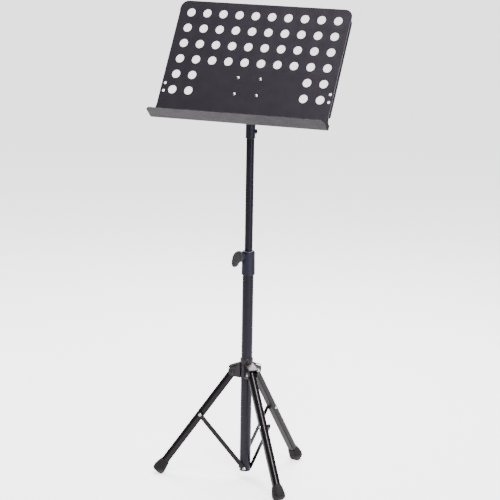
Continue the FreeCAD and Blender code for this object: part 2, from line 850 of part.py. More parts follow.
def clamp_knob():
    """Thumb lever: a swept comma-shaped paddle on a round hub."""
    curve = Part.BSplineCurve()
    curve.interpolate(Points=[vec(p, z, knob_start) for p, z in knob_outline], PeriodicFlag=True)
    wire = Part.Wire([curve.toShape()])
    paddle = Part.Face(wire).extrude(vec(0, 0, knob_thickness))
    paddle = fillet_where(paddle, knob_edge_rounding, lambda e: e.BoundBox.ZLength < tolerance)
    back = knob_start - knob_hub_back
    hub = rod(knob_hub_radius, back, knob_start + knob_thickness + knob_hub_front)
    hub = fillet_where(hub, knob_hub_rounding, lambda e: e.BoundBox.ZLength < tolerance)
    knob = fuse_all([paddle, hub])
    knob = knob.cut(rod(clamp_screw_radius, back - past, knob_start + knob_screw_engagement))
    return at_clamp(solid_of(knob))


# ---------------------------------------------------------------- hub
def hub_arm_solid():
    """One arm's outline in the (radius, height) plane, as wide as its two cheeks."""
    pivot = hub_pivot
    steps = [
        ("go", (hub_arm_root, hub_bottom)),
        ("go", (hub_core_radius, hub_bottom)),
        ("go", (pivot[0], pivot[1] - hub_cheek_radius)),
        ("by", round_point(pivot, hub_cheek_radius, -45), (pivot[0] + hub_cheek_radius, pivot[1])),
        ("go", (hub_arm_reach, hub_roof_outer_height)),
        ("go", (hub_arm_root, hub_roof_inner_height)),
    ]
    wire = outline(steps, lambda r, z: vec(r, -cheek_outer, z))
    arm = Part.Face(wire).extrude(vec(0, 2 * cheek_outer, 0))

    def roof_edge(edge):
        box = edge.BoundBox
        along_roof = box.XLength > hub_arm_reach - hub_core_radius
        return along_roof and box.ZMin > hub_roof_outer_height - tolerance and box.YLength < tolerance

    return fillet_where(arm, hub_roof_rounding, roof_edge)


def roof_slope():
    return (hub_roof_inner_height - hub_roof_outer_height) / (hub_arm_reach - hub_arm_root)


def hub_roof_notch():
    """Gap between an arm's roof and its cheeks, open at the outer end."""
    slope = roof_slope()
    start = hub_core_radius + hub_notch_start_gap
    far = hub_arm_reach + hub_cheek_radius
    under = hub_roof_outer_height - hub_roof_thickness
    steps = [
        ("go", (start, under + slope * (hub_arm_reach - start))),
        ("go", (far, under - slope * (far - hub_arm_reach))),
        ("go", (far, under - slope * (far - hub_arm_reach) - hub_notch_height)),
        ("go", (start, under + slope * (hub_arm_reach - start) - hub_notch_height)),
    ]
    wire = outline(steps, lambda r, z: vec(r, -2 * cheek_outer, z))
    return Part.Face(wire).extrude(vec(0, 4 * cheek_outer, 0))


def hub_arm_slot():
    slope = roof_slope()
    under = hub_roof_outer_height - hub_roof_thickness
    far = hub_arm_reach + hub_cheek_radius
    steps = [
        ("go", (hub_slot_start, hub_bottom - past)),
        ("go", (far, hub_bottom - past)),
        ("go", (far, under - slope * (far - hub_arm_reach))),
        ("go", (hub_slot_start, under + slope * (hub_arm_reach - hub_slot_start))),
    ]
    wire = outline(steps, lambda r, z: vec(r, -cheek_inner, z))
    return Part.Face(wire).extrude(vec(0, 2 * cheek_inner, 0))


def hub_spider():
    boss = rod(hub_boss_radius, hub_bottom, hub_boss_top)
    boss = fillet_where(boss, hub_boss_rounding, lambda e: e.BoundBox.ZMin > hub_boss_top - tolerance)
    core = rod(hub_core_radius, hub_bottom, hub_core_top)
    core = fillet_where(core, hub_core_rounding, lambda e: e.BoundBox.ZMin > hub_core_top - tolerance)
    arm = hub_arm_solid()
    slot = hub_arm_slot().fuse(hub_roof_notch())
    solid = [boss, core]
    cuts = []
    for index in range(leg_count):
        turn = frame(mast_axis_point, polar(leg_azimuth(index), 1.0), Z)
        solid.append(placed(arm, turn))
        cuts.append(placed(slot, turn))
        cuts.append(placed(rod(hub_pivot_bolt_radius, -cheek_outer - past, cheek_outer + past),
                           hub_pivot_place(index)))
    cuts.append(rod(hub_bore, hub_bottom - past, hub_boss_top + past))
    cuts.append(rod(hub_liner_radius, hub_bottom - past, hub_liner_top))
    cuts.append(placed(rod(hub_screw_radius, 0, big), outward(hub_screw_azimuth_deg, hub_screw_height)))
    spider = fuse_all(solid)
    for cut in cuts:
        spider = spider.cut(cut)
    return solid_of(spider)


def hub_liner():
    return sleeve(hub_liner_radius, hub_bore, hub_liner_bottom, hub_liner_top)


def hub_screw():
    shank = rod(hub_screw_radius, hub_bore, hub_boss_radius)
    head = dome(hub_screw_head_radius, hub_screw_head_height, hub_boss_radius)
    top = hub_boss_radius + hub_screw_head_height
    slot = block(-hub_screw_head_radius, hub_screw_head_radius, -hub_screw_slot_width / 2,
                 hub_screw_slot_width / 2, top - hub_screw_slot_depth, top + past)
    screw = solid_of(fuse_all([shank, head]).cut(slot))
    return placed(screw, outward(hub_screw_azimuth_deg, hub_screw_height))


def hub_pivot_place(index):
    return radial_plane(index, hub_pivot, 0.0).multiply(across(0.0))


def hub_pivot_bolts():
    bolts = []
    for index in range(leg_count):
        shank = rod(hub_pivot_bolt_radius, -cheek_outer, cheek_outer + hub_pivot_nut_height)
        head = dome(hub_pivot_head_radius, hub_pivot_head_height, cheek_outer)
        head = head.mirror(vec(0, 0, 0), Z)
        bolts.append(placed(fuse_all([shank, head]), hub_pivot_place(index)))
    return Part.makeCompound(bolts)


def hub_pivot_nuts():
    """Cap nuts: a hexagon with a closed dome over the end of the bolt."""
    nuts = []
    top = cheek_outer + hub_pivot_nut_height
    for index in range(leg_count):
        nut = hexagon(hub_pivot_nut_radius, cheek_outer, top)
        nut = nut.cut(rod(hub_pivot_bolt_radius, 0, top))
        nut = fuse_all([nut, dome(hub_pivot_cap_radius, hub_pivot_cap_height, top)])
        nuts.append(placed(nut, hub_pivot_place(index)))
    return Part.makeCompound(nuts)


# ---------------------------------------------------------------- legs, feet and braces
def leg_section(offset, height):
    """Closed outline of the leg: round back outward, flat sides, rounded inner corners."""
    half = leg_half_width + offset
    centre_x = leg_depth / 2 - leg_half_width
    inner = -leg_depth / 2 - offset
    corner = leg_inner_corner + offset
    upper = (inner + corner, half - corner)
    lower = (inner + corner, -half + corner)
    steps = [
        ("go", (centre_x, -half)),
        ("by", (centre_x + half, 0.0), (centre_x, half)),
        ("go", (inner + corner, half)),
        ("by", round_point(upper, corner, 135), (inner, half - corner)),
        ("go", (inner, -half + corner)),
        ("by", round_point(lower, corner, 225), (inner + corner, -half)),
    ]
    return outline(steps, lambda x, y: vec(x, y, height))


def leg_bar(offset, start, end):
    return Part.Face(leg_section(offset, start)).extrude(vec(0, 0, end - start))


def pivot_hole_radius(index):
    if index == 0:
        return hub_pivot_bolt_radius + running_clearance
    return hub_pivot_bolt_radius + loose_pivot_clearance


def leg_top_outline():
    """Rounded about the hub pivot outside; inside, a larger heel, cut upright where it meets the hub."""
    outer = placed(rod(leg_depth / 2, -leg_half_width, leg_half_width), across(hub_pivot_along))
    heel = placed(rod(leg_heel_radius, -leg_half_width, leg_half_width), across(hub_pivot_along))
    inner_half = block(-leg_heel_radius, 0, -leg_half_width, leg_half_width,
                       hub_pivot_along, hub_pivot_along + leg_heel_radius)
    lower = block(-leg_depth, leg_depth, -leg_half_width, leg_half_width, 0, hub_pivot_along)
    return fuse_all([outer, heel.common(inner_half), lower])


def leg(index):
    """Closed tube whose heel bears on the hub's core when the tripod is open."""
    top = hub_pivot_along + leg_heel_radius
    tube = leg_bar(0.0, leg_bottom_along, top).common(leg_top_outline())
    tube = tube.cut(leg_bar(-leg_wall, leg_bottom_along - past, top + past))
    pivot = placed(rod(pivot_hole_radius(index), -big / 2, big / 2), across(hub_pivot_along))
    rivet = placed(rod(brace_rivet_radius, -big / 2, big / 2), across(brace_rivet_along))
    tube = placed(tube.cut(pivot).cut(rivet), leg_frame(index))
    stop_face = hub_slot_start + leg_stop_gap
    core_side = block(-big, stop_face, -2 * leg_half_width, 2 * leg_half_width, 0, big)
    upright = frame(mast_axis_point, polar(leg_azimuth(index), 1.0), Z)
    return solid_of(tube.cut(placed(core_side, upright)))


def foot_cap(index):
    """Rubber boot: flared and rounded, with a small flat where it stands on the floor."""
    top = leg_section(cap_wall_top, cap_top_along)
    flare = leg_section(cap_wall_bottom, cap_flare_along)
    boot = Part.makeLoft([flare, top], True, True)
    sole = leg_bar(cap_wall_bottom, cap_bottom_along, cap_flare_along)
    boot = fuse_all([boot, sole])
    boot = fillet_where(boot, cap_edge_rounding, lambda e: e.BoundBox.ZMax < cap_bottom_along + tolerance)
    boot = fillet_where(boot, cap_rim_rounding, lambda e: e.BoundBox.ZMin > cap_top_along - tolerance)
    boot = boot.cut(leg_bar(0.0, leg_bottom_along, cap_top_along + past))
    boot = placed(boot, leg_frame(index))
    return solid_of(boot.cut(block(-big, big, -big, big, -big, 0)))


def brace_spacer(index):
    end = brace_inner_face - running_clearance
    spacer = sleeve(brace_spacer_radius, brace_rivet_radius, leg_half_width, end)
    return placed(spacer, leg_frame(index).multiply(across(brace_rivet_along)))


def leg_rivet(index):
    """Semi-tubular rivet through both sides of the leg, its spacer and the brace."""
    head = brace_outer_face + running_clearance
    tail = dome(brace_rivet_head_radius, brace_rivet_head_height, leg_half_width).mirror(vec(0, 0, 0), Z)
    rivet = fuse_all([rod(brace_rivet_radius, -leg_half_width, head), tail,
                      tubular_rivet_head(head, brace_rivet_head_radius, brace_rivet_head_height)])
    return placed(rivet, leg_frame(index).multiply(across(brace_rivet_along)))


def brace(index):
    half = brace_width / 2
    steps = [
        ("go", (-half, 0.0)),
        ("by", (0.0, -half), (half, 0.0)),
        ("go", (half, brace_length)),
        ("by", (0.0, brace_length + half), (-half, brace_length)),
    ]
    wire = outline(steps, lambda x, z: vec(x, brace_inner_face, z))
    bar = Part.Face(wire).extrude(vec(0, brace_thickness, 0))
    bar = fillet_where(bar, brace_edge_rounding, lambda e: e.BoundBox.YLength < tolerance)
    for height in (0.0, brace_length):
        bar = bar.cut(placed(rod(brace_rivet_radius + running_clearance, 0, big), across(height)))
    return placed(solid_of(bar), brace_frame(index))


# ---------------------------------------------------------------- write the parts
def desk_nodes():
    place = desk_frame()
    return {
        "desk_panel": placed(desk_panel(), place),
        "desk_bracket": placed(desk_bracket(), place),
        "desk_rivets": placed(desk_rivets(), place),
        "tilt_bolt": tilt_bolt(),
        "tilt_spring_washer": tilt_spring_washer(),
        "tilt_lock_nut": tilt_lock_nut(),
        "friction_washers": friction_washers(),
    }


def upper_mast_nodes():
    return {
        "tilt_socket": tilt_socket(),
        "socket_screw": socket_screw(),
        "socket_washer": socket_washer(),
        "upper_tube": upper_tube(),
        "upper_tube_plug": upper_tube_plug(),
        "guide_bush": guide_bush(),
        "retaining_ring": retaining_ring(),
    }


def lower_mast_nodes():
    return {
        "lower_tube": lower_tube(),
        "tube_end_plug": tube_end_plug(),
        "brace_foot_rivets": brace_foot_rivets(),
        "tube_liner": tube_liner(),
        "clamp_collar": clamp_collar(),
        "collar_fixing_screw": collar_fixing_screw(),
        "clamp_insert": clamp_insert(),
        "clamp_pad": clamp_pad(),
        "clamp_screw": clamp_screw(),
        "clamp_knob": clamp_knob(),
    }


def hub_nodes():
    return {
        "hub_spider": hub_spider(),
        "hub_liner": hub_liner(),
        "hub_screw": hub_screw(),
        "hub_pivot_bolts": hub_pivot_bolts(),
        "hub_pivot_nuts": hub_pivot_nuts(),
    }


def leg_nodes():
    nodes = {}
    for index in range(leg_count):
        number = index + 1
        nodes["leg_%d" % number] = leg(index)
        nodes["foot_cap_%d" % number] = foot_cap(index)
        nodes["leg_rivet_%d" % number] = leg_rivet(index)
        nodes["brace_spacer_%d" % number] = brace_spacer(index)
        nodes["brace_%d" % number] = brace(index)
    return nodes


def footprint_centre(nodes):
    """Middle of the stand's bounding box seen from above, to the nearest millimetre."""
    box = FreeCAD.BoundBox()
    for shape in nodes.values():
        box.add(shape.BoundBox)
    return vec(round(box.Center.x), round(box.Center.y))


def main():
    os.makedirs("parts", exist_ok=True)
    nodes = {}
    for group in (desk_nodes, upper_mast_nodes, lower_mast_nodes, hub_nodes, leg_nodes):
        nodes.update(group())
    origin = footprint_centre(nodes)
    for name, shape in nodes.items():
        shape.translated(origin * -1).exportStep("parts/%s.step" % name)


main()
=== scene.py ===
import json
import math

import bmesh
import bpy
from mathutils import Matrix, Vector
from mathutils.bvhtree import BVHTree


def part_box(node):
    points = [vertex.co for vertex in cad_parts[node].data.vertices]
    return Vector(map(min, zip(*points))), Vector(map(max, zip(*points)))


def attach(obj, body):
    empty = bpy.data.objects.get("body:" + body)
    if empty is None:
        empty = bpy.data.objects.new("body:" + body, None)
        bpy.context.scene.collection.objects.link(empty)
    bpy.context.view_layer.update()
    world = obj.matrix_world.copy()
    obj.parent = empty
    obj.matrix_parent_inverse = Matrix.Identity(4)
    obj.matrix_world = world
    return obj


# A folding music stand on a pale studio floor. Metres, in the frame of the CAD model, +Z up.

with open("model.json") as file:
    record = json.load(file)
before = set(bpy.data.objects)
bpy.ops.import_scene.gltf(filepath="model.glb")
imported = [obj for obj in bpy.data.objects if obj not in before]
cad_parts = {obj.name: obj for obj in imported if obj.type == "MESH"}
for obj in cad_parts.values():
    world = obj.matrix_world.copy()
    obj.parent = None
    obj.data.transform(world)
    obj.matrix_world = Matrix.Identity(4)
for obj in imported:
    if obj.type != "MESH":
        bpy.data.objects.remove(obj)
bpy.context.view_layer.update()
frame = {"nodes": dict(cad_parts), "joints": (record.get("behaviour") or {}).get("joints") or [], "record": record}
nodes = frame["nodes"]

MM = 0.001


# ---------------------------------------------------------------- places from the frame
def middle_of(node):
    low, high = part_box(node)
    return (low + high) / 2


mast = middle_of("lower_tube")
mast_x, mast_y = mast.x, mast.y


def on_mast(height):
    return Vector((mast_x, mast_y, height))


# ---------------------------------------------------------------- camera
CAMERA_FROM_MAST = Vector((2.58647, -5.88469, 1.86989))
CAMERA_YAW = math.radians(23.693)
CAMERA_PITCH = math.radians(10.988)
CAMERA_ROLL = math.radians(0.972)
CAMERA_LENS = 178.67
SENSOR_WIDTH = 36.0
CAMERA_REACH = 50.0


def make_camera():
    forward = Vector((-math.sin(CAMERA_YAW) * math.cos(CAMERA_PITCH),
                      math.cos(CAMERA_YAW) * math.cos(CAMERA_PITCH),
                      -math.sin(CAMERA_PITCH)))
    level = Vector((math.cos(CAMERA_YAW), math.sin(CAMERA_YAW), 0.0))
    upright = level.cross(forward)
    right = level * math.cos(CAMERA_ROLL) + upright * math.sin(CAMERA_ROLL)
    up = upright * math.cos(CAMERA_ROLL) - level * math.sin(CAMERA_ROLL)
    rotation = Matrix((right, up, -forward)).transposed().to_4x4()
    data = bpy.data.cameras.new("photo_camera")
    data.sensor_width = SENSOR_WIDTH
    data.lens = CAMERA_LENS
    data.clip_end = CAMERA_REACH
    camera = bpy.data.objects.new("photo_camera", data)
    camera.matrix_world = Matrix.Translation(on_mast(0.0) + CAMERA_FROM_MAST) @ rotation
    bpy.context.scene.collection.objects.link(camera)
    bpy.context.scene.camera = camera


# ---------------------------------------------------------------- material helpers
EDGE_SAMPLES = 6
OPEN_SURFACE = 0.985
SHARP_EDGE = 0.80
NOISE_LOW = 0.3
NOISE_HIGH = 0.7
CLOUD_LOW = 0.35
CLOUD_HIGH = 0.65


def rgba(colour, gain=1.0):
    return (colour[0] * gain, colour[1] * gain, colour[2] * gain, 1.0)


class Look:
    """Short names for building one material's node tree."""

    def __init__(self, name):
        self.material = bpy.data.materials.new(name)
        self.material.use_nodes = True
        self.tree = self.material.node_tree
        self.tree.nodes.clear()
        self.output = self.add("ShaderNodeOutputMaterial")
        self.shader = self.add("ShaderNodeBsdfPrincipled")
        self.link(self.shader.outputs["BSDF"], self.output.inputs["Surface"])
        self.place = self.add("ShaderNodeTexCoord").outputs["Object"]

    def add(self, kind, **settings):
        node = self.tree.nodes.new(kind)
        for key, value in settings.items():
            setattr(node, key, value)
        return node

    def link(self, source, target):
        self.tree.links.new(source, target)

    def feed(self, value, target):
        if isinstance(value, bpy.types.NodeSocket):
            self.link(value, target)
        else:
            target.default_value = value

    def stretched(self, scale):
        """Object coordinates multiplied by a vector, for streaks along one direction."""
        node = self.add("ShaderNodeMapping")
        self.link(self.place, node.inputs["Vector"])
        node.inputs["Scale"].default_value = scale
        return node.outputs["Vector"]

    def noise(self, scale, detail, rough=0.55, where=None):
        node = self.add("ShaderNodeTexNoise")
        self.link(where or self.place, node.inputs["Vector"])
        node.inputs["Scale"].default_value = scale
        node.inputs["Detail"].default_value = detail
        node.inputs["Roughness"].default_value = rough
        return node.outputs["Fac"]

    def cells(self, scale):
        node = self.add("ShaderNodeTexVoronoi", feature="SMOOTH_F1")
        self.link(self.place, node.inputs["Vector"])
        node.inputs["Scale"].default_value = scale
        return node.outputs["Distance"]

    def spread(self, value, low, high, to_low=0.0, to_high=1.0):
        """Map low..high of a value to to_low..to_high, clamped."""
        node = self.add("ShaderNodeMapRange", clamp=True)
        self.link(value, node.inputs["Value"])
        node.inputs["From Min"].default_value = low
        node.inputs["From Max"].default_value = high
        node.inputs["To Min"].default_value = to_low
        node.inputs["To Max"].default_value = to_high
        return node.outputs["Result"]

    def math(self, operation, a, b):
        node = self.add("ShaderNodeMath", operation=operation)
        self.feed(a, node.inputs[0])
        self.feed(b, node.inputs[1])
        return node.outputs[0]

    def mix(self, amount, a, b):
        node = self.add("ShaderNodeMix", data_type="RGBA")
        self.feed(amount, node.inputs[0])
        self.feed(a, node.inputs[6])
        self.feed(b, node.inputs[7])
        return node.outputs[2]

    def bump(self, height, distance, normal=None):
        node = self.add("ShaderNodeBump")
        self.link(height, node.inputs["Height"])
        node.inputs["Distance"].default_value = distance
        if normal is not None:
            self.link(normal, node.inputs["Normal"])
        return node.outputs["Normal"]

    def soft_edges(self, radius):
        """Surface normal rounded over the sharp edges of the mesh."""
        node = self.add("ShaderNodeBevel", samples=EDGE_SAMPLES)
        node.inputs["Radius"].default_value = radius
        return node.outputs["Normal"]

    def edge_mask(self, rounded):
        """1 on sharp edges and 0 on open surfaces."""
        flat = self.add("ShaderNodeNewGeometry").outputs["True Normal"]
        dot = self.add("ShaderNodeVectorMath", operation="DOT_PRODUCT")
        self.link(rounded, dot.inputs[0])
        self.link(flat, dot.inputs[1])
        return self.spread(dot.outputs["Value"], OPEN_SURFACE, SHARP_EDGE)

    def clouded(self, cloud, colour, dark_gain, light_gain):
        """A colour that drifts between two gains of itself."""
        amount = self.spread(cloud, CLOUD_LOW, CLOUD_HIGH)
        return self.mix(amount, rgba(colour, dark_gain), rgba(colour, light_gain))

    def uneven_gloss(self, cloud, smoothest, roughest):
        """Roughness that drifts between two values."""
        return self.spread(cloud, NOISE_LOW, NOISE_HIGH, smoothest, roughest)

    def finish(self, colour, roughness, normal, **uniform):
        self.feed(colour, self.shader.inputs["Base Color"])
        self.feed(roughness, self.shader.inputs["Roughness"])
        self.link(normal, self.shader.inputs["Normal"])
        for key, value in uniform.items():
            self.shader.inputs[key.replace("_", " ")].default_value = value
        return self.material


# ---------------------------------------------------------------- materials
WARM_GLOSS = (1.0, 0.90, 0.97, 1.0)
COOL_GLOSS = (0.92, 0.87, 1.0, 1.0)
BARE_SHEET = (0.21, 0.20, 0.21, 1.0)
BARE_TUBE = (0.24, 0.23, 0.24, 1.0)
FLOOR_DUST = (0.19, 0.18, 0.165, 1.0)
DUST_TOP = 16 * MM
DUST_BOTTOM = 1 * MM


def powder_coat(name, colour, roughness, pebble_size, pebble_height, bare=0.35):
    """Baked powder coat: pebbled skin, faint cloudy tone, thinned and rubbed along the edges."""
    look = Look(name)
    rounded = look.soft_edges(0.35 * MM)
    edge = look.edge_mask(rounded)
    speck = look.noise(scale=1400.0, detail=2.0)
    chips = look.noise(scale=160.0, detail=4.0)
    pebble = look.noise(scale=1.0 / pebble_size, detail=3.0, rough=0.5)
    tone = look.clouded(look.noise(scale=9.0, detail=5.0), colour, 0.9, 1.1)
    tone = look.mix(look.spread(speck, 0.56, 0.72, 0.0, 0.35), tone, rgba(colour, 1.9))
    worn = look.math("MULTIPLY", edge, look.spread(chips, 0.45, 0.62, 0.0, bare))
    tone = look.mix(worn, tone, BARE_SHEET)
    normal = look.bump(pebble, pebble_height, rounded)
    gloss = look.uneven_gloss(look.noise(scale=40.0, detail=4.0), roughness - 0.05, roughness + 0.06)
    return look.finish(tone, gloss, normal, Specular_IOR_Level=0.45, Specular_Tint=WARM_GLOSS)


def tube_paint(name, colour, roughness, tint, specular):
    """Glossier paint over drawn metal: upright drawing lines and rubbed streaks under an orange-peel skin."""
    look = Look(name)
    rounded = look.soft_edges(0.3 * MM)
    edge = look.edge_mask(rounded)
    lines = look.noise(scale=1.0, detail=3.0, rough=0.6, where=look.stretched((900.0, 900.0, 9.0)))
    streaks = look.noise(scale=1.0, detail=4.0, rough=0.65, where=look.stretched((260.0, 260.0, 16.0)))
    chips = look.noise(scale=180.0, detail=4.0)
    peel = look.noise(scale=520.0, detail=2.0)
    tone = look.clouded(look.noise(scale=14.0, detail=5.0), colour, 0.88, 1.12)
    tone = look.mix(look.spread(streaks, 0.62, 0.78, 0.0, 0.18), tone, rgba(colour, 2.6))
    worn = look.math("MULTIPLY", edge, look.spread(chips, 0.42, 0.6, 0.0, 0.5))
    tone = look.mix(worn, tone, BARE_TUBE)
    height = look.math("ADD", look.math("MULTIPLY", lines, 0.35), peel)
    normal = look.bump(height, 0.028 * MM, rounded)
    gloss = look.uneven_gloss(look.noise(scale=55.0, detail=4.0), roughness - 0.05, roughness + 0.07)
    return look.finish(tone, gloss, normal, Specular_IOR_Level=specular, Specular_Tint=tint)


def moulded_plastic(name, colour, roughness, grain_height=0.035 * MM):
    """Spark-textured moulding: fine even grain, a painted highlight lightening every sharp edge, and glossier
    rubbed edges.
    """
    look = Look(name)
    rounded = look.soft_edges(0.4 * MM)
    edge = look.edge_mask(rounded)
    cloud = look.noise(scale=30.0, detail=4.0)
    fine = look.math("MULTIPLY", look.noise(scale=2600.0, detail=2.0), 0.6)
    grain = look.math("ADD", look.cells(scale=1500.0), fine)
    tone = look.clouded(cloud, colour, 0.86, 1.14)
    tone = look.mix(look.spread(grain, 0.7, 1.15, 0.0, 0.3), tone, rgba(colour, 2.0))
    # painted highlight: every sharp edge is lightened towards a brighter copy of the colour, regardless of the
    # lamps
    tone = look.mix(look.math("MULTIPLY", edge, 0.35), tone, rgba(colour, 2.2))
    normal = look.bump(grain, grain_height, rounded)
    gloss = look.uneven_gloss(cloud, roughness - 0.04, roughness + 0.06)
    gloss = look.math("SUBTRACT", gloss, look.math("MULTIPLY", edge, 0.15))
    return look.finish(tone, gloss, normal, Specular_IOR_Level=0.42)


def rubber(name, colour):
    """Soft dull rubber with a matt bloom, dusty near the floor."""
    look = Look(name)
    rounded = look.soft_edges(0.5 * MM)
    parts = look.add("ShaderNodeSeparateXYZ")
    look.link(look.place, parts.inputs["Vector"])
    low = look.spread(parts.outputs["Z"], DUST_TOP, DUST_BOTTOM)
    mottle = look.noise(scale=130.0, detail=5.0)
    grain = look.noise(scale=1300.0, detail=4.0, rough=0.6)
    dust = look.math("MULTIPLY", low, look.spread(mottle, 0.4, 0.7, 0.1, 0.6))
    tone = look.mix(dust, look.clouded(mottle, colour, 0.85, 1.15), FLOOR_DUST)
    normal = look.bump(grain, 0.06 * MM, rounded)
    gloss = look.uneven_gloss(mottle, 0.62, 0.78)
    return look.finish(tone, gloss, normal, Specular_IOR_Level=0.30, Specular_Tint=WARM_GLOSS,
                       Sheen_Weight=0.05, Sheen_Roughness=0.5)


def bright_metal(name, colour, roughness, tarnish):
    """Plated or turned metal: fine scratches, uneven polish and slight tarnish."""
    look = Look(name)
    rounded = look.soft_edges(0.25 * MM)
    spots = look.noise(scale=420.0, detail=5.0, rough=0.65)
    scratches = look.noise(scale=1.0, detail=2.0, rough=0.5, where=look.stretched((2600.0, 700.0, 2600.0)))
    tone = look.mix(look.spread(spots, 0.42, 0.68, 0.0, 0.75), rgba(colour), rgba(tarnish))
    normal = look.bump(scratches, 0.012 * MM, rounded)
    gloss = look.uneven_gloss(spots, roughness - 0.08, roughness + 0.12)
    return look.finish(tone, gloss, normal, Metallic=1.0)


def nylon(name, colour):
    """Natural nylon: milky and slightly uneven, with a fine skin."""
    look = Look(name)
    rounded = look.soft_edges(0.3 * MM)
    cloud = look.noise(scale=180.0, detail=4.0)
    tone = look.clouded(cloud, colour, 0.9, 1.0)
    normal = look.bump(look.noise(scale=1500.0, detail=2.0), 0.02 * MM, rounded)
    gloss = look.uneven_gloss(cloud, 0.38, 0.5)
    return look.finish(tone, gloss, normal, Subsurface_Weight=0.08)


MATERIALS = {
    "desk_steel": powder_coat("desk_steel", (0.0085, 0.0064, 0.0112), roughness=0.44,
                              pebble_size=0.9 * MM, pebble_height=0.075 * MM),
    "tube_black": tube_paint("tube_black", (0.0045, 0.004, 0.0085), roughness=0.30,
                             tint=COOL_GLOSS, specular=0.36),
    "leg_black": tube_paint("leg_black", (0.005, 0.0042, 0.0052), roughness=0.24,
                            tint=WARM_GLOSS, specular=0.27),
    "hub_metal": powder_coat("hub_metal", (0.010, 0.009, 0.012), roughness=0.30,
                             pebble_size=0.7 * MM, pebble_height=0.05 * MM, bare=0.6),
    "black_plastic": moulded_plastic("black_plastic", (0.0045, 0.0045, 0.016), roughness=0.38),
    "knob_plastic": moulded_plastic("knob_plastic", (0.017, 0.015, 0.021), roughness=0.46,
                                    grain_height=0.07 * MM),
    "black_steel": powder_coat("black_steel", (0.005, 0.005, 0.006), roughness=0.34,
                               pebble_size=0.5 * MM, pebble_height=0.03 * MM, bare=0.8),
    "zinc_steel": bright_metal("zinc_steel", (0.66, 0.65, 0.66), roughness=0.26,
                               tarnish=(0.40, 0.39, 0.40)),
    "brass": bright_metal("brass", (0.74, 0.54, 0.25), roughness=0.28,
                          tarnish=(0.42, 0.28, 0.12)),
    "nylon": nylon("nylon", (0.74, 0.71, 0.64)),
    "rubber": rubber("rubber", (0.0085, 0.0068, 0.0080)),
}


def dress_nodes():
    """Give every CAD node the material of its slot."""
    slot_of = {part["node"]: part["material_slot"] for part in frame["record"]["subparts"]}
    for name, node in nodes.items():
        mesh = node.data
        if not mesh.materials:
            mesh.materials.append(None)
        for i in range(len(mesh.materials)):
            mesh.materials[i] = MATERIALS[slot_of[name]]


# ---------------------------------------------------------------- raised lines on the surfaces
RIDGE_SIDES = 10
END_TAPER = 0.35
CLEAR_OF_SURFACE = 200 * MM


def skin(node):
    """Search tree of a node's surface."""
    mesh = nodes[node].data
    return BVHTree.FromPolygons([v.co for v in mesh.vertices], [face.vertices for face in mesh.polygons])


def traced(surface, rays):
    """Points and normals where rays, as (start, direction), first meet a surface."""
    path = []
    for start, direction in rays:
        point, normal, _, _ = surface.ray_cast(start, direction)
        if point is not None:
            path.append((point, -normal if normal.dot(direction) > 0 else normal))
    return path


def add_ridge(beads, path, radius, proud=1.0, ripple=0.0, ripple_length=1.0):
    """Closed rounded bead along a path on a surface, thinner at its two ends."""
    rings = []
    travelled = 0.0
    last = len(path) - 1
    for i, (point, normal) in enumerate(path):
        ahead = path[min(i + 1, last)][0]
        behind = path[max(i - 1, 0)][0]
        travelled += (point - behind).length
        side = (ahead - behind).normalized().cross(normal).normalized()
        size = radius * (1.0 + ripple * math.cos(2 * math.pi * travelled / ripple_length))
        if i in (0, last):
            size *= END_TAPER
        ring = []
        for corner in range(RIDGE_SIDES):
            angle = 2 * math.pi * corner / RIDGE_SIDES
            offset = side * size * math.cos(angle) + normal * size * proud * math.sin(angle)
            ring.append(beads.verts.new(point + offset))
        rings.append(ring)
    for ring, next_ring in zip(rings, rings[1:]):
        for corner in range(RIDGE_SIDES):
            after = (corner + 1) % RIDGE_SIDES
            beads.faces.new((ring[corner], ring[after], next_ring[after], next_ring[corner]))
    beads.faces.new(rings[0])
    beads.faces.new(list(reversed(rings[-1])))


def finished_piece(name, beads, body, slot):
    """Turn the beads into a smooth piece that moves with a body."""
    bmesh.ops.recalc_face_normals(beads, faces=beads.faces)
    mesh = bpy.data.meshes.new(name)
    beads.to_mesh(mesh)
    beads.free()
    mesh.shade_smooth()
    piece = bpy.data.objects.new(name, mesh)
    mesh.materials.append(MATERIALS[slot])
    bpy.context.scene.collection.objects.link(piece)
    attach(piece, body)


joints = {joint["name"]: joint for joint in frame["joints"]}
LEG_COUNT = 3

# Grip ribs round the rubber boots
RIB_COUNT = 16
RIB_START = 15 * MM
RIB_END = 40 * MM
RIB_STEPS = 14
RIB_RADIUS = 0.75 * MM


def leg_directions(number):
    """Floor end of a leg's axis, and its directions: up along it, outward from it, and across it."""
    turn = joints["leg_%d_turn" % number]
    rivet = Vector(turn["pos_m"])
    out = Vector((rivet.x - mast_x, rivet.y - mast_y, 0.0)).normalized()
    hub_pivot = Vector(joints["hub_level"]["pos_m"])
    reach = math.hypot(hub_pivot.x - mast_x, hub_pivot.y - mast_y)
    up = (on_mast(hub_pivot.z) + out * reach - rivet).normalized()
    across = Vector(turn["axis"]).normalized()
    outward = up.cross(across)
    if outward.dot(out) < 0:
        outward = -outward
    return rivet - up * (rivet.z / up.z), up, outward, across


def boot_ribs():
    """Ribs along each boot, evenly spaced round its leg's axis."""
    for number in range(1, LEG_COUNT + 1):
        foot, up, outward, across = leg_directions(number)
        surface = skin("foot_cap_%d" % number)
        beads = bmesh.new()
        for rib in range(RIB_COUNT):
            angle = 2 * math.pi * (rib + 0.5) / RIB_COUNT
            away = outward * math.cos(angle) + across * math.sin(angle)
            rays = []
            for step in range(RIB_STEPS + 1):
                along = RIB_START + (RIB_END - RIB_START) * step / RIB_STEPS
                rays.append((foot + up * along + away * CLEAR_OF_SURFACE, -away))
            add_ridge(beads, traced(surface, rays), RIB_RADIUS)
        finished_piece("boot_ribs_%d" % number, beads, "leg_%d" % number, "rubber")


